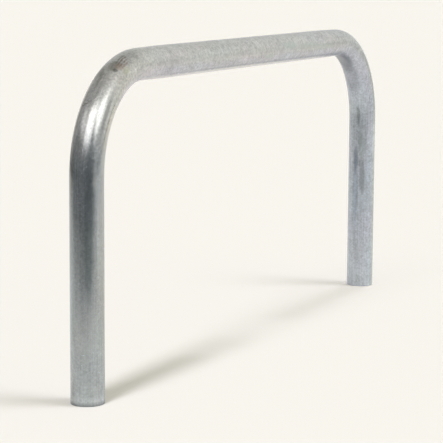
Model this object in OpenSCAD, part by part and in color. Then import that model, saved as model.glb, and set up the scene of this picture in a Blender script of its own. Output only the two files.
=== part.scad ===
// Hoop barrier: a round steel tube hoop with two straight legs, two wide bends and a level top rail.
// The legs, bends and rail are separate tubes, joined by four butt welds dressed flush and galvanised over.
// Millimetres. The hoop stands in the XZ plane, with the origin on the floor midway between the legs.

/* [Hoop] */
// Overall width, over the outsides of the legs
overall_w = 2000; // [1400:10:2600]
// Overall height, from the cut ends of the legs to the top of the rail
overall_h = 900; // [750:10:1200]

/* [Tube] */
// Outside diameter of the tube
tube_d = 88.9; // [76:0.1:102]
// Wall thickness of the straight tube
wall = 4; // [3:0.1:6]
// Chamfer left by deburring the cut ends of the legs
deburr = 0.6; // [0.3:0.1:1]

/* [Bends] */
// Radius of a bend, to the middle of the tube
bend_r = 275; // [220:5:340]
// Straight length past each end of a bend, in which the tube comes back to round
fade = 120; // [60:5:160]
// Round length at each end of a bend piece, left for its weld
round_end = 30; // [20:1:50]
// Flattening in the plane of the bend, in percent of the diameter
flatten = 3; // [0:0.5:6]
// Widening across the plane of the bend, in percent of the diameter
widen = 1; // [0:0.5:3]

/* [Welds] */
// Gap between the tube ends at the root of a weld
root_gap = 2; // [1:0.5:4]
// Height of the square edge at the root of a weld
root_face = 1.5; // [1:0.1:2]
// Slope of each bevelled tube end, in degrees from square
bevel = 30; // [20:1:40]
// How far the root of a weld stands into the bore
root_bead = 0.8; // [0.3:0.1:1.5]

/* [Hidden] */

// Smoothness of the revolved shapes, and facets round and along a bend
$fn = 96;
around = 36;
arc_steps = 15;
fade_steps = 4;
bead_steps = 6;

// Radii of the tube, and places of its centreline
outer_r = tube_d / 2;
bore_r = outer_r - wall;
leg_x = (overall_w - tube_d) / 2;
rail_z = overall_h - outer_r;

// The facets of a drawn bend lie just within the round wall of its ends, clear of its edges
facet_inset = 0.05;
skin_outer_r = outer_r - facet_inset;
skin_bore_r = bore_r / cos(180 / around) + facet_inset;
skin_wall = skin_outer_r - skin_bore_r;

// Lengths along the centreline of one bend piece, from weld to weld
tangent = fade + round_end;
arc_len = bend_r * PI / 2;
bend_len = arc_len + 2 * tangent;

// Middles of the welds, on a leg and on the rail
leg_weld_z = rail_z - bend_r - tangent;
rail_weld_x = leg_x - bend_r - tangent;

// How far a bevel runs along the tube, from its root face to the outside
bevel_run = (wall - root_face) * tan(bevel);

zinc_dull = [0.70, 0.71, 0.70];
zinc_bright = [0.78, 0.79, 0.80];
weld_zinc = [0.64, 0.65, 0.65];

// Ends of a tube wall as [radius, height] points, from the bore outwards; up is 1 at a lower end
function square_end(z) = [[bore_r, z], [outer_r, z]];
function bevelled_end(z, up) = [[bore_r, z], [bore_r + root_face, z], [outer_r, z + up * bevel_run]];
function cut_end(z, up) = [
    [bore_r, z + up * deburr], [bore_r + deburr, z],
    [outer_r - deburr, z], [outer_r, z + up * deburr]
];
function backwards(points) = [for (i = [len(points) - 1 : -1 : 0]) points[i]];

// Straight round tube along +Z, between two ends
module tube(low, high) {
    rotate_extrude() polygon(concat(low, backwards(high)));
}

// Place on a bend piece at s along its centreline, which starts up a leg and ends along the rail:
// how far round the bend in degrees, and the middle of the tube there
function turn(s) = 90 * min(max((s - tangent) / arc_len, 0), 1);
function middle(s) = s < tangent ? [0, 0, s]
    : s > tangent + arc_len ? [bend_r + s - tangent - arc_len, 0, tangent + bend_r]
    : [bend_r * (1 - cos(turn(s))), 0, tangent + bend_r * sin(turn(s))];

// Share of the bend's deformation at s: all of it in the arc, easing to none over the fade
function past_arc(s) = max(tangent - s, s - tangent - arc_len, 0);
function strain(s) = (1 + cos(180 * min(past_arc(s) / fade, 1))) / 2;

// The tube wall at an angle round the section, 0 at the back of the bend:
// bending stretches and thins the back, and thickens the inside
function wall_at(s, angle) =
    skin_wall * (1 - strain(s) * outer_r * cos(angle) / (bend_r + outer_r * cos(angle)));

// One point of the section at s, inset from the outside by the given share of the wall
function section_point(s, angle, inset) =
    let (
        in_plane = skin_outer_r * (1 - flatten / 100 * strain(s)) - inset * wall_at(s, angle),
        across = skin_outer_r * (1 + widen / 100 * strain(s)) - inset * wall_at(s, angle),
        back = [-cos(turn(s)), 0, sin(turn(s))]
    )
    middle(s) + in_plane * cos(angle) * back + [0, across * sin(angle), 0];

// Stations of the sections along a bend piece, between its two round ends
stations = concat(
    [for (i = [0 : fade_steps - 1]) round_end + fade * i / fade_steps],
    [for (i = [0 : arc_steps]) tangent + arc_len * i / arc_steps],
    [for (i = [1 : fade_steps]) tangent + arc_len + fade * i / fade_steps]
);

// Drawn bend with its two fades, as one closed wall between an outer and an inner skin
module drawn_bend() {
    rings = len(stations);
    points = [
        for (inset = [0, 1], s = stations, i = [0 : around - 1]) section_point(s, 360 * i / around, inset)
    ];
    function at(skin, ring, i) = (skin * rings + ring) * around + i % around;
    skins = [
        for (skin = [0, 1], ring = [0 : rings - 2], i = [0 : around - 1])
            let (
                a = at(skin, ring, i), b = at(skin, ring, i + 1),
                c = at(skin, ring + 1, i + 1), d = at(skin, ring + 1, i)
            )
            each skin == 0 ? [[a, b, c], [a, c, d]] : [[a, c, b], [a, d, c]]
    ];
    rims = [
        for (ring = [0, rings - 1], i = [0 : around - 1])
            let (a = at(0, ring, i), b = at(0, ring, i + 1), c = at(1, ring, i + 1), d = at(1, ring, i))
            each ring == 0 ? [[a, c, b], [a, d, c]] : [[a, b, c], [a, c, d]]
    ];
    polyhedron(points, concat(skins, rims));
}

// Round end of a bend piece, from its weld to where the section starts to change
module bend_end() {
    tube(bevelled_end(root_gap / 2, 1), square_end(round_end));
}

// Bend piece of the left corner, from the weld on the leg to the weld on the rail
module bend() {
    translate([-leg_x, 0, leg_weld_z]) {
        drawn_bend();
        bend_end();
        translate(middle(bend_len)) rotate([0, -90, 0]) bend_end();
    }
}

// Straight leg on the left, from its deburred foot to its weld
module leg() {
    translate([-leg_x, 0, 0]) tube(cut_end(0, 1), bevelled_end(leg_weld_z - root_gap / 2, -1));
}

// Weld metal round a tube that runs along Z, dressed flush outside, with its root bead in the bore
module weld() {
    half_root = root_gap / 2;
    half_cap = half_root + bevel_run;
    bead = [
        for (i = [1 : bead_steps - 1])
            let (a = 180 * i / bead_steps) [bore_r - root_bead * sin(a), half_root * cos(a)]
    ];
    rotate_extrude() polygon(concat(
        [
            [bore_r, -half_root], [bore_r + root_face, -half_root], [outer_r, -half_cap],
            [outer_r, half_cap], [bore_r + root_face, half_root], [bore_r, half_root]
        ],
        bead
    ));
}

module leg_weld() {
    translate([-leg_x, 0, leg_weld_z]) weld();
}

module rail_weld() {
    translate([-rail_weld_x, 0, rail_z]) rotate([0, 90, 0]) weld();
}

module on_right() {
    mirror([1, 0, 0]) children();
}

module left_leg() {
    color(zinc_dull) leg();
}

module left_bend() {
    color(zinc_bright) bend();
}

module top_rail() {
    half = rail_weld_x - root_gap / 2;
    color(zinc_dull)
        translate([0, 0, rail_z]) rotate([0, 90, 0]) tube(bevelled_end(-half, 1), bevelled_end(half, -1));
}

module right_bend() {
    color(zinc_bright) on_right() bend();
}

module right_leg() {
    color(zinc_dull) on_right() leg();
}

module left_leg_weld() {
    color(weld_zinc) leg_weld();
}

module left_rail_weld() {
    color(weld_zinc) rail_weld();
}

module right_rail_weld() {
    color(weld_zinc) on_right() rail_weld();
}

module right_leg_weld() {
    color(weld_zinc) on_right() leg_weld();
}

left_leg();
left_bend();
top_rail();
right_bend();
right_leg();
left_leg_weld();
left_rail_weld();
right_rail_weld();
right_leg_weld();
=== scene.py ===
# Hoop barrier of galvanised steel tube: its surfaces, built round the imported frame. Metres, +Z up.
import bpy
from math import cos, pi, radians, sin, tan
from mathutils import Matrix, Vector

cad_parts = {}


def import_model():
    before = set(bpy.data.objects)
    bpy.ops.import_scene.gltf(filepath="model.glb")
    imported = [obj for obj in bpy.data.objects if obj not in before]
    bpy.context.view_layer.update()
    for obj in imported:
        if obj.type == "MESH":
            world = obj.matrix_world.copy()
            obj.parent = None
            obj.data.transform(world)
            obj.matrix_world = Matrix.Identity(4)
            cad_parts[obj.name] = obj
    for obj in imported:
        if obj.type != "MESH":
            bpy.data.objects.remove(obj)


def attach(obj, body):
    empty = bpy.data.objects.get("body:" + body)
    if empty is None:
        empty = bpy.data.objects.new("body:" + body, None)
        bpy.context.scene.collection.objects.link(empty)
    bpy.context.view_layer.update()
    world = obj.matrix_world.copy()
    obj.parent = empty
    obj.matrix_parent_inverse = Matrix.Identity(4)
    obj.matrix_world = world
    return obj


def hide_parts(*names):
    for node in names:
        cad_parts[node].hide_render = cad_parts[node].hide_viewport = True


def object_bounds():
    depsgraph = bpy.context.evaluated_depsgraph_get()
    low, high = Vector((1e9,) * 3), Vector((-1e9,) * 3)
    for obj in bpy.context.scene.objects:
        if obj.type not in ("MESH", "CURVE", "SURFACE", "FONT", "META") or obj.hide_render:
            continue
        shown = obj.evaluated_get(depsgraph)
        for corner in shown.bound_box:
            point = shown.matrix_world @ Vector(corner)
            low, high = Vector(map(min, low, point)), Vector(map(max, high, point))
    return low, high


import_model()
CAD_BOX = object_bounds()

# Tube sizes, as in the part's source
TUBE_R = 0.0889 / 2
WALL = 0.004
DEBURR = 0.0006
BEND_R = 0.275
FADE = 0.120
ROUND_END = 0.030
FLATTEN = 0.03
ROOT_GAP = 0.002
ROOT_FACE = 0.0015
BEVEL = radians(30)
ROOT_BEAD = 0.0008

# Sizes read from the frame: the middles of the legs and of the rail, and how much the bends widen
LEG_X = CAD_BOX[1].x - TUBE_R
RAIL_Z = CAD_BOX[1].z - TUBE_R
WIDEN = CAD_BOX[1].y / TUBE_R - 1

# Lengths along the middle of the tube: a leg, the arc of a bend, the rail, and the hoop from foot to foot
LEG = RAIL_Z - BEND_R
ARC = BEND_R * pi / 2
RAIL = 2 * (LEG_X - BEND_R)
HOOP = 2 * (LEG + ARC) + RAIL

# Places of the four welds along the tube, from the left foot over the hoop to the right foot
TANGENT = FADE + ROUND_END
LEFT_LEG_WELD = LEG - TANGENT
LEFT_RAIL_WELD = LEG + ARC + TANGENT
RIGHT_RAIL_WELD = HOOP - LEFT_RAIL_WELD
RIGHT_LEG_WELD = HOOP - LEFT_LEG_WELD

# Half of a weld's length along the tube, at its root and at its cap
HALF_GAP = ROOT_GAP / 2
HALF_CAP = HALF_GAP + (WALL - ROOT_FACE) * tan(BEVEL)

# Fineness of the meshes: sides round the tube, length of a ring, and steps round a root bead and over a cap
SIDES = 128
RING_STEP = 0.010
BEAD_STEPS = 8
CAP_STEPS = 4

# Points nearer than this are one point, and an edge that turns more than this stays sharp
MERGE = 0.00001
SHARP = radians(20)

# Sizes that the tube's Geometry Nodes tree takes as inputs
TREE_SIZES = {
    "Tube radius": TUBE_R, "Bend radius": BEND_R, "Leg": LEG, "Arc": ARC, "Hoop": HOOP,
    "Leg place": LEG_X, "Fade": FADE, "Flatten": FLATTEN, "Widen": WIDEN,
}


def add(tree, kind, inputs=(), out=0, **settings):
    """Adds a node with its settings and links, and returns the output that out names or numbers.

    Inputs are sockets or plain values, in order or by name, and None leaves an input as it is."""
    node = tree.nodes.new(kind)
    for name, value in settings.items():
        setattr(node, name, value)
    named = inputs.items() if isinstance(inputs, dict) else enumerate(inputs)
    for key, value in named:
        if isinstance(value, bpy.types.NodeSocket):
            tree.links.new(value, node.inputs[key])
        elif value is not None:
            node.inputs[key].default_value = value
    return node.outputs[out] if node.outputs else node


def linear(hex_colour):
    """An sRGB hex colour as linear RGBA."""
    parts = [int(hex_colour[i:i + 2], 16) / 255 for i in (1, 3, 5)]
    return [c / 12.92 if c <= 0.04045 else ((c + 0.055) / 1.055) ** 2.4 for c in parts] + [1.0]


# Camera, placed and turned as the photograph was taken. Its yaw runs from +Y towards +X, its angles are in
# radians, and its lens and sensor are in millimetres.
CAMERA_AT = Vector((-4.9121, -2.2767, 1.1473))
CAMERA_YAW = 1.12348
CAMERA_PITCH = -0.1469
CAMERA_ROLL = -0.00589
CAMERA_LENS = 147.6
CAMERA_SENSOR = 36.0
CAMERA_REACH = 500


def camera():
    """The photograph's camera, made the scene's own."""
    level_share = cos(CAMERA_PITCH)
    forward = Vector((sin(CAMERA_YAW) * level_share, cos(CAMERA_YAW) * level_share, sin(CAMERA_PITCH)))
    level = Vector((cos(CAMERA_YAW), -sin(CAMERA_YAW), 0))
    right = cos(CAMERA_ROLL) * level + sin(CAMERA_ROLL) * forward.cross(level)
    down = forward.cross(right)
    turned = Matrix((right, -down, -forward)).transposed().to_4x4()
    data = bpy.data.cameras.new("camera")
    data.lens = CAMERA_LENS
    data.sensor_width = CAMERA_SENSOR
    data.clip_end = CAMERA_REACH
    made = bpy.data.objects.new("camera", data)
    made.matrix_world = Matrix.Translation(CAMERA_AT) @ turned
    bpy.context.scene.collection.objects.link(made)
    bpy.context.scene.camera = made


# The tube: an outline of its wall, swept once round the section and along the hoop

def tube_inputs(tree):
    """The tube tree's inputs and its output. Returns the inputs as sockets."""
    face = tree.interface
    face.new_socket("Wall outline", in_out="INPUT", socket_type="NodeSocketGeometry")
    for size in TREE_SIZES:
        face.new_socket(size, in_out="INPUT", socket_type="NodeSocketFloat")
    face.new_socket("Sides", in_out="INPUT", socket_type="NodeSocketInt")
    face.new_socket("Coat", in_out="INPUT", socket_type="NodeSocketMaterial")
    face.new_socket("Tube", in_out="OUTPUT", socket_type="NodeSocketGeometry")
    return tree.nodes.new("NodeGroupInput").outputs


def wall_grid(tree, given):
    """A grid with one row for each point of the outline and one column for each side of the tube.

    Returns the grid, and each point's place along the hoop, inset from the outside and angle round it."""
    rows = add(tree, "GeometryNodeAttributeDomainSize", [given["Wall outline"]])
    columns = add(tree, "FunctionNodeIntegerMath", [given["Sides"], 1], operation="ADD")
    grid = add(tree, "GeometryNodeMeshGrid", {"Vertices X": rows, "Vertices Y": columns})
    index = add(tree, "GeometryNodeInputIndex")
    row = add(tree, "FunctionNodeIntegerMath", [index, columns], operation="DIVIDE_FLOOR")
    column = add(tree, "FunctionNodeIntegerMath", [index, columns], operation="MODULO")
    place = add(tree, "GeometryNodeInputPosition")
    point = add(
        tree, "GeometryNodeSampleIndex", {"Geometry": given["Wall outline"], "Value": place, "Index": row},
        data_type="FLOAT_VECTOR", domain="POINT",
    )
    outline = add(tree, "ShaderNodeSeparateXYZ", [point]).node.outputs
    share = add(tree, "ShaderNodeMath", [column, given["Sides"]], operation="DIVIDE")
    angle = add(tree, "ShaderNodeMath", [share, 2 * pi], operation="MULTIPLY")
    return grid, outline["X"], outline["Y"], angle


def half_place(tree, given, along):
    """Place on a half of the hoop, measured from its own foot, since both halves follow the same rule.

    Returns the length from the foot, the half (-1 left, 1 right), and the lengths past the leg and arc."""
    rest = add(tree, "ShaderNodeMath", [given["Hoop"], along], operation="SUBTRACT")
    near = add(tree, "ShaderNodeMath", [along, rest], operation="MINIMUM")
    ahead = add(tree, "ShaderNodeMath", [along, rest], operation="SUBTRACT")
    half = add(tree, "ShaderNodeMath", [ahead], operation="SIGN")
    past_leg = add(tree, "ShaderNodeMath", [near, given["Leg"]], operation="SUBTRACT")
    past_arc = add(tree, "ShaderNodeMath", [past_leg, given["Arc"]], operation="SUBTRACT")
    return near, half, past_leg, past_arc


def middle_line(tree, given, near, half, past_leg, past_arc):
    """Middle of the tube: up the leg, round the bend, then along the rail.

    Returns it and the direction from there to the back of the tube, the outside of the hoop."""
    bent = add(tree, "ShaderNodeClamp", [past_leg, 0.0, given["Arc"]])
    turn = add(tree, "ShaderNodeMath", [bent, given["Bend radius"]], operation="DIVIDE")
    turn_sin = add(tree, "ShaderNodeMath", [turn], operation="SINE")
    turn_cos = add(tree, "ShaderNodeMath", [turn], operation="COSINE")

    on_leg = add(tree, "ShaderNodeMath", [near, given["Leg"]], operation="MINIMUM")
    middle_z = add(tree, "ShaderNodeMath", [given["Bend radius"], turn_sin, on_leg], operation="MULTIPLY_ADD")
    on_rail = add(tree, "ShaderNodeMath", [past_arc, 0.0], operation="MAXIMUM")
    short = add(tree, "ShaderNodeMath", [1.0, turn_cos], operation="SUBTRACT")
    inward = add(tree, "ShaderNodeMath", [given["Bend radius"], short, on_rail], operation="MULTIPLY_ADD")
    outward = add(tree, "ShaderNodeMath", [given["Leg place"], inward], operation="SUBTRACT")
    middle_x = add(tree, "ShaderNodeMath", [outward, half], operation="MULTIPLY")
    middle = add(tree, "ShaderNodeCombineXYZ", [middle_x, 0.0, middle_z])

    back_x = add(tree, "ShaderNodeMath", [turn_cos, half], operation="MULTIPLY")
    back = add(tree, "ShaderNodeCombineXYZ", [back_x, 0.0, turn_sin])
    return middle, back


def bend_strain(tree, given, past_leg, past_arc):
    """Share of the bend's deformation: all of it in the arc, easing to none over the fade."""
    before = add(tree, "ShaderNodeMath", [0.0, past_leg], operation="SUBTRACT")
    away = add(tree, "ShaderNodeMath", [before, past_arc], operation="MAXIMUM")
    faded = add(tree, "ShaderNodeMath", [away, given["Fade"]], operation="DIVIDE")
    faded = add(tree, "ShaderNodeClamp", [faded])
    swing = add(tree, "ShaderNodeMath", [faded, pi], operation="MULTIPLY")
    swing = add(tree, "ShaderNodeMath", [swing], operation="COSINE")
    return add(tree, "ShaderNodeMath", [swing, 0.5, 0.5], operation="MULTIPLY_ADD")


def section_point(tree, given, angle, inset, strain):
    """A point of the section, which a bend flattens in its own plane and widens across it.

    Returns how far the point lies from the middle of the tube, towards its back and sideways."""
    to_back = add(tree, "ShaderNodeMath", [angle], operation="COSINE")
    to_side = add(tree, "ShaderNodeMath", [angle], operation="SINE")

    # Bending stretches and thins the wall at the back, and thickens it on the inside
    reach = add(tree, "ShaderNodeMath", [given["Tube radius"], to_back], operation="MULTIPLY")
    fibre = add(tree, "ShaderNodeMath", [given["Bend radius"], reach], operation="ADD")
    stretch = add(tree, "ShaderNodeMath", [reach, fibre], operation="DIVIDE")
    thinning = add(tree, "ShaderNodeMath", [strain, stretch], operation="MULTIPLY")
    thinning = add(tree, "ShaderNodeMath", [1.0, thinning], operation="SUBTRACT")
    depth = add(tree, "ShaderNodeMath", [inset, thinning], operation="MULTIPLY")

    flat = add(tree, "ShaderNodeMath", [strain, given["Flatten"]], operation="MULTIPLY")
    flat = add(tree, "ShaderNodeMath", [1.0, flat], operation="SUBTRACT")
    in_plane = add(tree, "ShaderNodeMath", [given["Tube radius"], flat], operation="MULTIPLY")
    in_plane = add(tree, "ShaderNodeMath", [in_plane, depth], operation="SUBTRACT")
    wide = add(tree, "ShaderNodeMath", [strain, given["Widen"], 1.0], operation="MULTIPLY_ADD")
    across = add(tree, "ShaderNodeMath", [given["Tube radius"], wide], operation="MULTIPLY")
    across = add(tree, "ShaderNodeMath", [across, depth], operation="SUBTRACT")
    section_back = add(tree, "ShaderNodeMath", [in_plane, to_back], operation="MULTIPLY")
    section_side = add(tree, "ShaderNodeMath", [across, to_side], operation="MULTIPLY")
    return section_back, section_side


def closed_wall(tree, grid, wall_point, coat):
    """The grid moved to its place, with its seams closed, its true corners kept sharp, and its coat on."""
    wall = add(tree, "GeometryNodeSetPosition", {"Geometry": grid, "Position": wall_point})
    wall = add(tree, "GeometryNodeMergeByDistance", {"Geometry": wall, "Distance": MERGE})
    wall = add(tree, "GeometryNodeSetShadeSmooth", {"Geometry": wall, "Shade Smooth": True})
    corner = add(tree, "GeometryNodeInputMeshEdgeAngle")
    sharp = add(
        tree, "FunctionNodeCompare", {0: corner, 1: SHARP}, operation="GREATER_THAN", data_type="FLOAT",
    )
    wall = add(
        tree, "GeometryNodeSetShadeSmooth", {"Geometry": wall, "Selection": sharp, "Shade Smooth": False},
        domain="EDGE",
    )
    wall = add(tree, "GeometryNodeRealizeInstances", [wall])
    return add(tree, "GeometryNodeSetMaterial", {"Geometry": wall, "Material": coat})


def tube_tree():
    """Geometry nodes that sweep an outline of (along, inset) points round the tube and along the hoop."""
    tree = bpy.data.node_groups.new("hoop_tube", "GeometryNodeTree")
    given = tube_inputs(tree)
    grid, along, inset, angle = wall_grid(tree, given)
    near, half, past_leg, past_arc = half_place(tree, given, along)
    middle, back = middle_line(tree, given, near, half, past_leg, past_arc)
    strain = bend_strain(tree, given, past_leg, past_arc)
    section_back, section_side = section_point(tree, given, angle, inset, strain)

    offset = add(tree, "ShaderNodeVectorMath", {0: back, "Scale": section_back}, operation="SCALE")
    sideways = add(tree, "ShaderNodeCombineXYZ", [0.0, section_side, 0.0])
    offset = add(tree, "ShaderNodeVectorMath", [offset, sideways], operation="ADD")
    wall_point = add(tree, "ShaderNodeVectorMath", [middle, offset], operation="ADD")

    # The place on the straightened tube, along, outwards and sideways, which the coat's patterns follow
    straight = add(tree, "ShaderNodeCombineXYZ", [along, section_back, section_side])
    grid = add(
        tree, "GeometryNodeStoreNamedAttribute", {"Geometry": grid, "Name": "tube_place", "Value": straight},
        data_type="FLOAT_VECTOR", domain="POINT",
    )
    add(tree, "NodeGroupOutput", [closed_wall(tree, grid, wall_point, given["Coat"])])
    return tree


def evenly(start, end, step):
    """Places from start to end, both included, about a step apart."""
    count = max(1, round(abs(end - start) / step))
    return [start + (end - start) * i / count for i in range(count + 1)]


def bevelled(weld, up):
    """Outline of a tube end at a weld, from the bore outwards; up is 1 at a low end and -1 at a high one."""
    face = weld + up * HALF_GAP
    return [(face, WALL), (face, WALL - ROOT_FACE), (weld + up * HALF_CAP, 0.0)]


def cut(foot, up):
    """Outline of a cut and deburred foot, from the bore outwards."""
    edge = foot + up * DEBURR
    return [(edge, WALL), (foot, WALL - DEBURR), (foot, DEBURR), (edge, 0.0)]


def tube_outline(low, high):
    """Closed outline of a tube wall: out at the low end, along the outside, in at the high end, and back."""
    outside = [(s, 0.0) for s in evenly(low[-1][0], high[-1][0], RING_STEP)]
    bore = [(s, WALL) for s in evenly(high[0][0], low[0][0], RING_STEP)]
    return low[:-1] + outside + high[-2:0:-1] + bore


def weld_outline(weld):
    """Closed outline of weld metal in its groove: flush outside, with its root bead in the bore."""
    cap = [(s, 0.0) for s in evenly(weld - HALF_CAP, weld + HALF_CAP, 2 * HALF_CAP / CAP_STEPS)]
    turns = evenly(0, pi, pi / BEAD_STEPS)
    bead = [(weld + HALF_GAP * cos(turn), WALL + ROOT_BEAD * sin(turn)) for turn in turns]
    low_face = (weld - HALF_GAP, WALL - ROOT_FACE)
    high_face = (weld + HALF_GAP, WALL - ROOT_FACE)
    return [low_face] + cap + [high_face] + bead + [low_face]


def swept(name, outline, coat, tree):
    """One piece of the hoop: its outline, swept by the tube tree and turned into a plain mesh."""
    drawn = bpy.data.meshes.new(name + "_outline")
    drawn.from_pydata([(along, inset, 0.0) for along, inset in outline], [], [])
    bench = bpy.data.objects.new(name + "_bench", drawn)
    bpy.context.scene.collection.objects.link(bench)
    modifier = bench.modifiers.new("sweep", "NODES")
    modifier.node_group = tree
    sockets = {item.name: item.identifier for item in tree.interface.items_tree if item.in_out == "INPUT"}
    for size, value in TREE_SIZES.items():
        modifier[sockets[size]] = value
    modifier[sockets["Sides"]] = SIDES
    modifier[sockets["Coat"]] = coat
    graph = bpy.context.evaluated_depsgraph_get()
    mesh = bpy.data.meshes.new_from_object(bench.evaluated_get(graph))
    mesh.name = name
    bench.modifiers.remove(modifier)
    bpy.data.objects.remove(bench)
    piece = bpy.data.objects.new(name, mesh)
    bpy.context.scene.collection.objects.link(piece)
    return piece


# The coat: patterns of the zinc. Each has its length along the straightened tube and its width across it, in
# metres, its detail and its tilt, and then how far it lightens and darkens the left leg, rail and right leg.
PATTERNS = {
    # Grain of the zinc, finer on the real tube and drawn as coarse as it needs to show
    "grain": ((0.006, 0.006, 2.0, 0.0), (0.60, 0.92, 0.72)),
    # Slanting runs, left where the zinc drained off
    "runs": ((0.008, 0.024, 3.0, radians(25)), (0.05, 0.45, 0.20)),
    # Cloudy patches as wide as a thumb
    "clouds": ((0.022, 0.018, 3.0, 0.0), (0.16, 0.40, 0.35)),
    # Fine lines along the tube
    "lines": ((0.150, 0.004, 2.0, 0.0), (0.45, 0.10, 0.60)),
    # Broad blotches of weathering
    "blotches": ((0.080, 0.060, 4.0, 0.0), (0.25, 0.30, 0.35)),
}
# A noise and a crystal's shade run from 0 to 1 about this middle
MIDDLE = 0.5

# Crystals of the zinc, called spangle: their size, and how far they lighten and darken it
SPANGLE = 0.009
SPANGLE_SHARE = 0.08

# Slow drift of the zinc's hue: length, width and detail, and its reach in red, green and blue
DRIFT = (0.160, 0.060, 3.0)
DRIFT_SHARE = (0.12, 0.06, 0.12)

# Places along the tube between which bright zinc turns dull, and how far the blotches tear that edge
DULL_FROM = 0.75
DULL_TO = 0.86
DULL_TEAR = 0.2

# Places along the tube between which the rail's mottling gives way to the right leg's
RIGHT_FROM = 2.40
RIGHT_TO = 2.80

# Tone of the zinc along the hoop, from the left foot to the right one: place, colour
TONES = [
    # The left foot, darker at its cut edge as painted shade where it stands on the floor, then a pale band,
    # and the leg above it
    (0.000, "#858B8F"), (0.008, "#9BA2A7"), (0.014, "#C4CBD0"), (0.024, "#AFB6BA"),
    (0.250, "#ABB1B4"), (0.600, "#ADB4B9"),
    # The left bend and the rail
    (0.720, "#CACAC6"), (0.900, "#CACBC7"), (1.100, "#C5C6C3"), (2.200, "#C5C6C4"),
    # The right bend and the right leg
    (2.600, "#BBC0C0"), (2.760, "#BEC4C4"), (2.840, "#CBD2D2"), (2.940, "#CAD1D1"), (3.080, "#C3CAC9"),
]

# Tints across the tube, which are painted light: each side of the tube gets its own tint as the light falls
# on it.
# Bright zinc is a touch warmer away from the hoop's outside, and dull zinc is warmer there and bluer on the
# inside. Each change runs between two shares of the tube's radius, 1 at the outside.
BRIGHT_TINT = (1.0, 1.0, 0.985)
BRIGHT_TINT_FROM = 0.7
BRIGHT_TINT_TO = 0.5
OUTSIDE_TINT = (1.0, 1.0, 0.975)
INSIDE_TINT = (0.99, 0.99, 1.10)
INSIDE_TINT_FROM = 0.15
INSIDE_TINT_TO = -0.4

# Roughness of bright and of dull zinc, and how far the blotches vary it
BRIGHT_ROUGHNESS = 0.213
DULL_ROUGHNESS = 0.40
ROUGHNESS_SWING = 0.15

# Relief of the zinc: its height and strength, and the share of the clouds beside the crystals
RELIEF_HEIGHT = 0.0002
RELIEF_STRENGTH = 0.5
RELIEF_CLOUDS = 0.6

# Marks are ovals on the straightened tube. Each is full up to one share of its half size and gone at another,
# and a small noise, given as length, width and detail, tears its edge by this much.
MARK_FULL = 0.55
MARK_GONE = 1.20
TEAR = (0.012, 0.012, 3.0)
TEAR_REACH = 0.008
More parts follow.
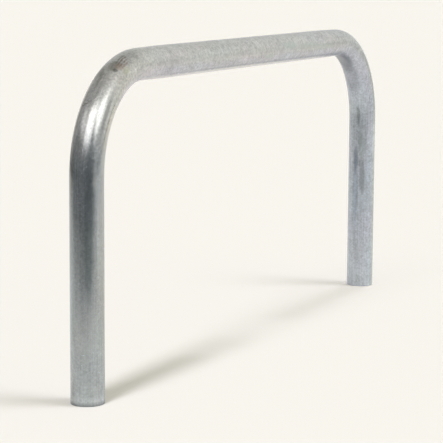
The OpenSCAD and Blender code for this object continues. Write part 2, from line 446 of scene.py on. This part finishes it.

# Marks on the coat, stains and scuffs of the zinc and some painted light, as said at each: place along the
# tube, turn round it in degrees from the hoop's outside, with the front side at -90, half length, half width,
# strength, colour
MARKS = [
    # Left leg: a pale patch above the foot, a grey streak on the front and a bluish one towards the rear
    (0.200, -24, 0.100, 0.030, 0.28, "#D6DADC"),
    (0.440, -97, 0.290, 0.020, 0.32, "#B3B3AB"),
    (0.360, 52, 0.300, 0.013, 0.45, "#9AAEC0"),
    # Left leg: a dark streak of painted reflection, the dark studio mirrored on the side that faces the
    # camera, a second dark streak towards the rear with a pale one between them, and a painted highlight at
    # their top
    (0.470, -36, 0.220, 0.013, 0.38, "#50696C"),
    (0.470, 40, 0.150, 0.011, 0.28, "#6E7470"),
    (0.390, 1, 0.150, 0.007, 0.20, "#D8DCDE"),
    (0.585, -58, 0.035, 0.008, 0.40, "#E2E6E6"),
    # Left bend: a grey streak of painted shade on the front, where the lamps' bright streak ends, and brown
    # ones on the outside
    (0.740, -60, 0.085, 0.010, 0.30, "#8C9092"),
    (0.600, 38, 0.080, 0.014, 0.30, "#7A6E5E"),
    (0.740, 40, 0.110, 0.012, 0.35, "#8C8272"),
    # Left bend: the scuff line, in three short steps across the tube
    (0.753, 27, 0.002, 0.008, 0.50, "#6C665F"),
    (0.757, 16, 0.002, 0.008, 0.50, "#6C665F"),
    (0.762, 4, 0.002, 0.008, 0.40, "#6C665F"),
    # Left bend: olive streaks that lead up to the rub
    (0.800, 34, 0.070, 0.013, 0.25, "#A09A80"),
    (0.830, 6, 0.035, 0.006, 0.34, "#6A6A54"),
    (0.855, 22, 0.030, 0.010, 0.35, "#6C6650"),
    # Left bend: the brown rub with its dark spot
    (0.876, -12, 0.022, 0.014, 0.42, "#6E6A50"),
    (0.863, -28, 0.007, 0.008, 0.54, "#47483E"),
    (0.881, -32, 0.013, 0.012, 0.40, "#A8896F"),
    # Left bend: four scratches out of the rub, and a yellowish patch beside it
    (0.910, -12, 0.026, 0.003, 0.50, "#6A6050"),
    (0.907, -22, 0.026, 0.003, 0.60, "#7E604A"),
    (0.902, -32, 0.024, 0.003, 0.55, "#80604A"),
    (0.897, -43, 0.020, 0.003, 0.45, "#86684F"),
    (0.884, -58, 0.016, 0.010, 0.35, "#BBBD96"),
    # Rail: a faint dark band across its left end, and greenish patches along its front
    (1.125, -102, 0.014, 0.036, 0.24, "#8A8A88"),
    (1.770, -108, 0.040, 0.010, 0.40, "#BAC6BE"),
    (1.920, -72, 0.060, 0.013, 0.45, "#BAC6BC"),
    (2.060, -86, 0.080, 0.013, 0.45, "#BAC6BC"),
    (2.200, -94, 0.080, 0.010, 0.45, "#BAC6BC"),
    # Rail: a pale line along its front, a dark line of painted shade below it where the tube turns under, and
    # pale streaks of painted reflection along its lower edge
    (1.700, -92, 0.800, 0.008, 0.22, "#E6E6E2"),
    (1.700, -135, 0.800, 0.004, 0.22, "#5F6068"),
    (1.620, -156, 0.640, 0.013, 0.68, "#EEEEEA"),
    (2.150, -157, 0.130, 0.012, 0.52, "#EEEEEA"),
    # Right bend: dark patches on its inside
    (2.470, 170, 0.120, 0.036, 0.62, "#74777D"),
    (2.610, 168, 0.080, 0.034, 0.32, "#777B80"),
    # Right leg: dark and greenish stains down its inside
    (2.786, -175, 0.046, 0.006, 0.48, "#5E6668"),
    (2.828, -160, 0.008, 0.014, 0.24, "#666C6C"),
    (2.868, -167, 0.030, 0.010, 0.26, "#6A7572"),
    (2.895, -159, 0.045, 0.014, 0.25, "#8FA398"),
    (2.955, -161, 0.016, 0.009, 0.24, "#6B7073"),
    (3.010, -155, 0.058, 0.011, 0.40, "#72777A"),
    # Right leg: bluish streaks beside them
    (2.938, 174, 0.050, 0.009, 0.38, "#5F7088"),
    (3.040, 174, 0.150, 0.009, 0.24, "#6C80A0"),
]


def zinc_pattern(tree, place, length, width, detail, tilt=0.0, out="Fac"):
    """A noise with patches of the given size along the tube and across it."""
    patch = add(
        tree, "ShaderNodeMapping",
        {"Vector": place, "Rotation": (0, 0, tilt), "Scale": (length, width, width)},
        vector_type="TEXTURE",
    )
    return add(tree, "ShaderNodeTexNoise", {"Vector": patch, "Scale": 1.0, "Detail": detail}, out=out)


def dullness(tree, along, blotches):
    """How dull the zinc is: 0 up to a torn edge on the left bend, and 1 past it."""
    edge = add(tree, "ShaderNodeMath", [blotches, MIDDLE], operation="SUBTRACT")
    edge = add(tree, "ShaderNodeMath", [edge, DULL_TEAR, along], operation="MULTIPLY_ADD")
    return add(
        tree, "ShaderNodeMapRange", [edge, DULL_FROM, DULL_TO, 0.0, 1.0], interpolation_type="SMOOTHSTEP",
    )


def tone_along(tree, along):
    """Tone of the zinc along the hoop, blended from each place in TONES to the next."""
    whole = add(tree, "ShaderNodeMath", [along, HOOP], operation="DIVIDE")
    ramp = add(tree, "ShaderNodeValToRGB", [whole], out="Color")
    stops = ramp.node.color_ramp.elements
    for i, (at, colour) in enumerate(TONES):
        stop = stops[i] if i < len(stops) else stops.new(1.0)
        stop.position = at / HOOP
        stop.color = linear(colour)
    return ramp


def painted_light_tint(tree, outward, dull):
    """Painted light across the tube, a tint for each side of it, one rule for bright zinc and one for dull.

    A Mix node takes its factor at input 0, vectors at 4 and 5, and colours at 6 and 7."""
    from_outside = [outward, BRIGHT_TINT_FROM * TUBE_R, BRIGHT_TINT_TO * TUBE_R, 0.0, 1.0]
    away = add(tree, "ShaderNodeMapRange", from_outside)
    on_bright = add(
        tree, "ShaderNodeMix", {0: away, 4: (1, 1, 1), 5: BRIGHT_TINT}, out=1, data_type="VECTOR",
    )
    to_inside = [outward, INSIDE_TINT_FROM * TUBE_R, INSIDE_TINT_TO * TUBE_R, 0.0, 1.0]
    inside = add(tree, "ShaderNodeMapRange", to_inside)
    on_dull = add(
        tree, "ShaderNodeMix", {0: inside, 4: OUTSIDE_TINT, 5: INSIDE_TINT}, out=1, data_type="VECTOR",
    )
    return add(tree, "ShaderNodeMix", {0: dull, 4: on_bright, 5: on_dull}, out=1, data_type="VECTOR")


def mottling(tree, along, dull, crystals, noises):
    """Brightness of the zinc about 1: its crystals, and each pattern at its share on that stretch of tube."""
    about = add(tree, "ShaderNodeMath", [crystals, MIDDLE], operation="SUBTRACT")
    value = add(tree, "ShaderNodeMath", [about, SPANGLE_SHARE, 1.0], operation="MULTIPLY_ADD")
    right = add(tree, "ShaderNodeMapRange", [along, RIGHT_FROM, RIGHT_TO, 0.0, 1.0])
    for pattern, (_, (on_left, on_rail, on_right)) in PATTERNS.items():
        share = add(tree, "ShaderNodeMapRange", [dull, 0.0, 1.0, on_left, on_rail])
        share = add(tree, "ShaderNodeMapRange", [right, 0.0, 1.0, share, on_right])
        about = add(tree, "ShaderNodeMath", [noises[pattern], MIDDLE], operation="SUBTRACT")
        value = add(tree, "ShaderNodeMath", [about, share, value], operation="MULTIPLY_ADD")
    return value


def hue_drift(tree, place):
    """A slow drift of hue over the zinc, about white."""
    noise = zinc_pattern(tree, place, *DRIFT, out="Color")
    about = add(tree, "ShaderNodeVectorMath", [noise, (MIDDLE,) * 3], operation="SUBTRACT")
    return add(tree, "ShaderNodeVectorMath", [about, DRIFT_SHARE, (1, 1, 1)], operation="MULTIPLY_ADD")


def torn_place(tree, place):
    """The place on the straightened tube, shaken a little so that a mark's edge is torn."""
    noise = zinc_pattern(tree, place, *TEAR, out="Color")
    about = add(tree, "ShaderNodeVectorMath", [noise, (MIDDLE,) * 3], operation="SUBTRACT")
    return add(tree, "ShaderNodeVectorMath", [about, (TEAR_REACH,) * 3, place], operation="MULTIPLY_ADD")


def marked(tree, tone, place, mark):
    """The tone with one mark over it."""
    along, turn, half_length, half_width, strength, colour = mark
    scale = (1 / half_length, 1 / half_width, 1 / half_width)
    centre = (along, TUBE_R * cos(radians(turn)), TUBE_R * sin(radians(turn)))
    shift = tuple(-c * k for c, k in zip(centre, scale))
    near = add(tree, "ShaderNodeMapping", {"Vector": place, "Location": shift, "Scale": scale})
    far = add(tree, "ShaderNodeVectorMath", [near], out="Value", operation="LENGTH")
    shown = add(
        tree, "ShaderNodeMapRange", [far, MARK_FULL, MARK_GONE, strength, 0.0],
        interpolation_type="SMOOTHSTEP",
    )
    return add(tree, "ShaderNodeMix", {0: shown, 6: tone, 7: linear(colour)}, out=2, data_type="RGBA")


def zinc_roughness(tree, dull, blotches):
    """Roughness: bright zinc draws a lamp out into a soft streak, and dull zinc spreads it over the tube."""
    rough = add(tree, "ShaderNodeMapRange", [dull, 0.0, 1.0, BRIGHT_ROUGHNESS, DULL_ROUGHNESS])
    about = add(tree, "ShaderNodeMath", [blotches, MIDDLE], operation="SUBTRACT")
    return add(tree, "ShaderNodeMath", [about, ROUGHNESS_SWING, rough], operation="MULTIPLY_ADD")


def zinc_relief(tree, crystals, clouds):
    """Relief: crystals and clouds stand up by a fraction of a millimetre and break the gloss."""
    relief = add(tree, "ShaderNodeMath", [clouds, RELIEF_CLOUDS, crystals], operation="MULTIPLY_ADD")
    return add(
        tree, "ShaderNodeBump", {"Strength": RELIEF_STRENGTH, "Distance": RELIEF_HEIGHT, "Height": relief},
    )


def galvanised(name):
    """Hot-dip galvanised steel, a grey skin of zinc crystals that follows the tube.

    To the eye it is silvery, with soft bright streaks, on the left leg and round the left bend, and a flat
    mottled grey past a torn edge there, where the zinc has weathered. Some of its marks and its tints across
    the tube are painted highlights, reflections and shade."""
    made = bpy.data.materials.new(name)
    made.use_nodes = True
    tree = made.node_tree
    tree.nodes.clear()
    place = add(tree, "ShaderNodeAttribute", out="Vector", attribute_name="tube_place")
    straight = add(tree, "ShaderNodeSeparateXYZ", [place]).node.outputs
    along, outward = straight["X"], straight["Y"]
    noises = {pattern: zinc_pattern(tree, place, *size) for pattern, (size, _) in PATTERNS.items()}
    crystals = add(tree, "ShaderNodeTexVoronoi", {"Vector": place, "Scale": 1 / SPANGLE}, out="Color")
    crystals = add(tree, "ShaderNodeSeparateXYZ", [crystals])
    dull = dullness(tree, along, noises["blotches"])

    tone = tone_along(tree, along)
    tint = painted_light_tint(tree, outward, dull)
    tone = add(tree, "ShaderNodeVectorMath", [tone, tint], operation="MULTIPLY")
    value = mottling(tree, along, dull, crystals, noises)
    tone = add(tree, "ShaderNodeVectorMath", {0: tone, "Scale": value}, operation="SCALE")
    tone = add(tree, "ShaderNodeVectorMath", [tone, hue_drift(tree, place)], operation="MULTIPLY")
    torn = torn_place(tree, place)
    for mark in MARKS:
        tone = marked(tree, tone, torn, mark)

    rough = zinc_roughness(tree, dull, noises["blotches"])
    skin = zinc_relief(tree, crystals, noises["clouds"])
    shader = add(
        tree, "ShaderNodeBsdfPrincipled",
        {"Base Color": tone, "Metallic": 1.0, "Roughness": rough, "Normal": skin},
    )
    add(tree, "ShaderNodeOutputMaterial", [shader])
    return made


# Floor: its colour, and how far it reaches from the middle
PAPER_COLOUR = "#86835F"
FLOOR_REACH = 150.0

# Lit part of the paper as the metal mirrors it: a round sweep behind the left leg with a soft edge, and the
# level of the dark studio past it
PAPER_MIDDLE = (7.3, 0.5, 0.0)
PAPER_EDGE = 8.0
PAPER_FADE = 3.2
PAPER_DARK = 0.19


def paper():
    """Matt studio paper, which looks flat and even, and pale under the floor's own lamps.

    In the metal it shows as it is up to the paper's edge, and as dark studio beyond."""
    look = bpy.data.materials.new("studio_floor")
    look.use_nodes = True
    tree = look.node_tree
    tree.nodes.clear()
    sheet = add(tree, "ShaderNodeBsdfDiffuse", {"Color": linear(PAPER_COLOUR)})
    place = add(tree, "ShaderNodeTexCoord", out="Object")
    far = add(tree, "ShaderNodeVectorMath", [place, PAPER_MIDDLE], out="Value", operation="DISTANCE")
    past = PAPER_EDGE + PAPER_FADE
    lit = add(tree, "ShaderNodeMapRange", [far, PAPER_EDGE, past, 1.0, 0.0], interpolation_type="SMOOTHSTEP")
    beyond = add(tree, "ShaderNodeEmission", {"Color": (1, 1, 1, 1), "Strength": PAPER_DARK})
    mirrored = add(tree, "ShaderNodeMixShader", [lit, beyond, sheet])
    glossy = add(tree, "ShaderNodeLightPath", out="Is Glossy Ray")
    shown = add(tree, "ShaderNodeMixShader", [glossy, sheet, mirrored])
    add(tree, "ShaderNodeOutputMaterial", [shown])
    return look


def floor():
    """The flat floor that the hoop stands on."""
    reach = FLOOR_REACH
    corners = [(-reach, -reach, 0), (reach, -reach, 0), (reach, reach, 0), (-reach, reach, 0)]
    data = bpy.data.meshes.new("floor")
    data.from_pydata(corners, [], [range(4)])
    data.materials.append(paper())
    made = bpy.data.objects.new("floor", data)
    bpy.context.scene.collection.objects.link(made)
    return made


# Soft lamps that light the floor alone and draw the hoop's shadows on it. Their light is cool and the paper
# warm, so the floor comes out cream, and olive in the shadows, where only the studio's own light reaches it.
# Each lamp: name, part of the names of the pieces that stand in its light, azimuth from +X, elevation and
# angle across in degrees, and how much light it gives the floor
LAMP_COLOUR = "#B7B9FF"
FLOOR_LAMPS = [
    # Three heights of light from the left draw the long shadow, darkest at the left foot
    ("left_low", "left_", 181, 27, 12, 1.05),
    ("left_middle", "left_", 180, 63, 10, 1.10),
    ("left_high", "left_", 180, 78, 8, 1.20),
    # Broad lights in front draw the soft shadows behind the feet
    ("front", "_leg", -75, 48, 28, 1.55),
    ("front_right", "left_leg", -62, 46, 28, 0.76),
    # High lights on the right and overhead draw the short shadows by the right foot and under the rail
    ("right", "right_", 0, 73, 8, 0.80),
    ("overhead", "", 190, 86, 9, 0.25),
]


def floor_lamps(ground, pieces):
    """Lamps for the floor alone, each masked so that only its own pieces stand in its light.

    An energy of pi from straight overhead gives white paper its full level."""
    only = bpy.data.collections.new("floor_only")
    only.objects.link(ground)
    for name, part, azimuth, elevation, angle, level in FLOOR_LAMPS:
        lamp = bpy.data.lights.new("floor_lamp_" + name, "SUN")
        lamp.angle = radians(angle)
        lamp.color = linear(LAMP_COLOUR)[:3]
        lamp.energy = level * pi / sin(radians(elevation))
        made = bpy.data.objects.new("floor_lamp_" + name, lamp)
        made.rotation_euler = (0, radians(90 - elevation), radians(azimuth))
        made.light_linking.receiver_collection = only
        shading = bpy.data.collections.new("in_light_of_" + name)
        made.light_linking.blocker_collection = shading
        for piece in pieces:
            if part in piece.name:
                shading.objects.link(piece)
        bpy.context.scene.collection.objects.link(made)


# Soft lights and dim corners of the studio, which light the metal and show in it. Each: azimuth from +X,
# elevation, width, height and soft edge in degrees, and level
STUDIO = [
    # Dim wall on the left, and a dim corner behind
    (172, 8, 154, 68, 10, 0.27),
    (60, 50, 78, 84, 5, 0.44),
    # Two bright soft lights on the left and in front, whose streaks lie on the left bend
    (-168, 44, 27, 21, 14, 2.05),
    (-104, 40, 21, 17, 14, 2.02),
    # Thin light behind on the left, and a low pale one on the right
    (137, 39, 28, 4, 12, 0.97),
    (1, 5, 70, 22, 35, 0.97),
]
STUDIO_LEVEL = 0.64
BACKDROP = "#F9F6EF"


def softbox(tree, direction, azimuth, elevation, width, height, edge):
    """Mask of a flat soft light seen from the hoop: 1 inside it, easing to 0 over its edge."""
    turned = add(
        tree, "ShaderNodeVectorRotate", {"Vector": direction, "Axis": (0, 0, 1), "Angle": radians(-azimuth)},
        rotation_type="AXIS_ANGLE",
    )
    turned = add(
        tree, "ShaderNodeVectorRotate", {"Vector": turned, "Axis": (0, 1, 0), "Angle": radians(elevation)},
        rotation_type="AXIS_ANGLE",
    )
    facing = add(tree, "ShaderNodeSeparateXYZ", [turned]).node.outputs
    masks = []
    for part, size in (("Y", width), ("Z", height)):
        ratio = add(tree, "ShaderNodeMath", [facing[part], facing["X"]], operation="DIVIDE")
        ratio = add(tree, "ShaderNodeMath", [ratio], operation="ABSOLUTE")
        inner = tan(radians(size / 2))
        outer = tan(radians(size / 2 + edge))
        masks.append(add(
            tree, "ShaderNodeMapRange", [ratio, inner, outer, 1.0, 0.0], interpolation_type="SMOOTHSTEP",
        ))
    front = add(tree, "ShaderNodeMath", [facing["X"], 0.0], operation="GREATER_THAN")
    both = add(tree, "ShaderNodeMath", masks, operation="MULTIPLY")
    return add(tree, "ShaderNodeMath", [both, front], operation="MULTIPLY")


def world():
    """The studio round the hoop, and the plain cream backdrop that the camera sees."""
    made = bpy.data.worlds.new("studio")
    bpy.context.scene.world = made
    made.use_nodes = True
    tree = made.node_tree
    tree.nodes.clear()
    direction = add(tree, "ShaderNodeTexCoord", out="Generated")
    level = STUDIO_LEVEL
    for azimuth, elevation, width, height, edge, strength in STUDIO:
        mask = softbox(tree, direction, azimuth, elevation, width, height, edge)
        level = add(tree, "ShaderNodeMix", [mask, None, level, strength], data_type="FLOAT")
    studio = add(tree, "ShaderNodeBackground", {"Color": (1, 1, 1, 1), "Strength": level})
    backdrop = add(tree, "ShaderNodeBackground", {"Color": linear(BACKDROP), "Strength": 1.0})
    camera_ray = add(tree, "ShaderNodeLightPath", out="Is Camera Ray")
    shown = add(tree, "ShaderNodeMixShader", [camera_ray, studio, backdrop])
    add(tree, "ShaderNodeOutputWorld", [shown])


bpy.context.scene.view_settings.view_transform = "Standard"
camera()
world()

# One coat runs over the whole hoop. It has one name on the tubes where it is bright, one where it is dull,
# and one on the welds, which are dressed flush and galvanised over.
bright = galvanised("galvanised_steel_bright")
dull = galvanised("galvanised_steel_dull")
dressed = galvanised("galvanised_weld")

# Outlines of the straight and bent tubes, each between its low end and its high end along the hoop
left_leg = tube_outline(cut(0.0, 1), bevelled(LEFT_LEG_WELD, -1))
left_bend = tube_outline(bevelled(LEFT_LEG_WELD, 1), bevelled(LEFT_RAIL_WELD, -1))
top_rail = tube_outline(bevelled(LEFT_RAIL_WELD, 1), bevelled(RIGHT_RAIL_WELD, -1))
right_bend = tube_outline(bevelled(RIGHT_RAIL_WELD, 1), bevelled(RIGHT_LEG_WELD, -1))
right_leg = tube_outline(bevelled(RIGHT_LEG_WELD, 1), cut(HOOP, -1))

# Each piece: its CAD node, its outline, its coat and the record's slot
PIECES = [
    ("left_leg", left_leg, bright, "zinc_dull"),
    ("left_bend", left_bend, bright, "zinc_bright"),
    ("top_rail", top_rail, dull, "zinc_dull"),
    ("right_bend", right_bend, dull, "zinc_bright"),
    ("right_leg", right_leg, dull, "zinc_dull"),
    ("left_leg_weld", weld_outline(LEFT_LEG_WELD), dressed, "weld_zinc"),
    ("left_rail_weld", weld_outline(LEFT_RAIL_WELD), dressed, "weld_zinc"),
    ("right_rail_weld", weld_outline(RIGHT_RAIL_WELD), dressed, "weld_zinc"),
    ("right_leg_weld", weld_outline(RIGHT_LEG_WELD), dressed, "weld_zinc"),
]
sweep = tube_tree()
tubes = []
for node, outline, coat, slot in PIECES:
    piece = swept(node + "_galvanised", outline, coat, sweep)
    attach(piece, "root")
    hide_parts(node)
    tubes.append(piece)
floor_lamps(floor(), tubes)
